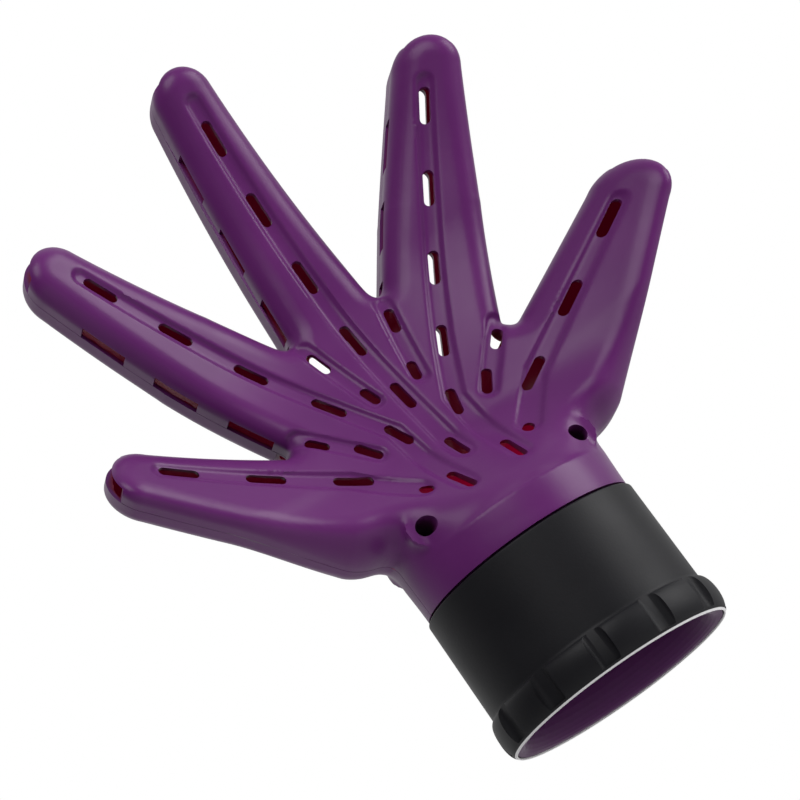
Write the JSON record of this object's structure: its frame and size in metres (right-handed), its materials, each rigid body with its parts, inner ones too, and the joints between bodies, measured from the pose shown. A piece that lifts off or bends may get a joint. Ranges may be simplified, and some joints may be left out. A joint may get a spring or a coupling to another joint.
{
  "type": "dryer diffuser",
  "caption": "Hand-shaped hair dryer diffuser: a hollow cupped hand with slotted fingers on a round neck, gripped to the dryer nozzle by a twist collar.",
  "frame": {"origin": "centre of the mouth, on the end plane of the collar; the diffuser stands on its mouth", "axes": "+Z along the neck towards the middle fingertip, the palm faces -Y, thumb and little finger are at -X and +X"},
  "size_m": [0.1742, 0.0674, 0.2049],
  "materials": {
    "plum_shell": "glossy moulded plastic, dark plum purple",
    "plum_neck": "glossy moulded plastic, dark plum purple",
    "black_collar": "satin black moulded plastic",
    "vane_nylon": "matt black nylon",
    "pin_steel": "bright drawn steel",
    "screw_steel": "zinc-plated steel"
  },
  "bodies": {
    "hand": {"front_shell": "plum_shell", "back_shell": "plum_shell", "neck_tube": "plum_neck", "vane_pin_1": "pin_steel", "vane_pin_2": "pin_steel", "vane_pin_3": "pin_steel", "vane_pin_4": "pin_steel", "vane_pin_5": "pin_steel", "vane_pin_6": "pin_steel", "screw_left": "screw_steel", "screw_right": "screw_steel"},
    "collar": {"twist_collar": "black_collar"},
    "vane_1": {"grip_vane_1": "vane_nylon"},
    "vane_2": {"grip_vane_2": "vane_nylon"},
    "vane_3": {"grip_vane_3": "vane_nylon"},
    "vane_4": {"grip_vane_4": "vane_nylon"},
    "vane_5": {"grip_vane_5": "vane_nylon"},
    "vane_6": {"grip_vane_6": "vane_nylon"}
  },
  "joints": [
    {"name": "collar_twist", "type": "hinge", "parent": "hand", "child": "collar", "pos_m": [0, 0, 0.02], "axis": [0, 0, 1], "range_deg": [0, 20]},
    {"name": "vane_1_swing", "type": "hinge", "parent": "hand", "child": "vane_1", "pos_m": [0.0271, 0, 0.0225], "axis": [0, 0, 1], "range_deg": [0, 9.01]},
    {"name": "vane_2_swing", "type": "hinge", "parent": "hand", "child": "vane_2", "pos_m": [0.01355, 0.02347, 0.0225], "axis": [0, 0, 1], "range_deg": [0, 9.01]},
    {"name": "vane_3_swing", "type": "hinge", "parent": "hand", "child": "vane_3", "pos_m": [-0.01355, 0.02347, 0.0225], "axis": [0, 0, 1], "range_deg": [0, 9.01]},
    {"name": "vane_4_swing", "type": "hinge", "parent": "hand", "child": "vane_4", "pos_m": [-0.0271, 0, 0.0225], "axis": [0, 0, 1], "range_deg": [0, 9.01]},
    {"name": "vane_5_swing", "type": "hinge", "parent": "hand", "child": "vane_5", "pos_m": [-0.01355, -0.02347, 0.0225], "axis": [0, 0, 1], "range_deg": [0, 9.01]},
    {"name": "vane_6_swing", "type": "hinge", "parent": "hand", "child": "vane_6", "pos_m": [0.01355, -0.02347, 0.0225], "axis": [0, 0, 1], "range_deg": [0, 9.01]}
  ],
  "couplings": [
    {"joint": "vane_1_swing", "follows": "collar_twist", "ratio": 0.45},
    {"joint": "vane_2_swing", "follows": "collar_twist", "ratio": 0.45},
    {"joint": "vane_3_swing", "follows": "collar_twist", "ratio": 0.45},
    {"joint": "vane_4_swing", "follows": "collar_twist", "ratio": 0.45},
    {"joint": "vane_5_swing", "follows": "collar_twist", "ratio": 0.45},
    {"joint": "vane_6_swing", "follows": "collar_twist", "ratio": 0.45}
  ]
}
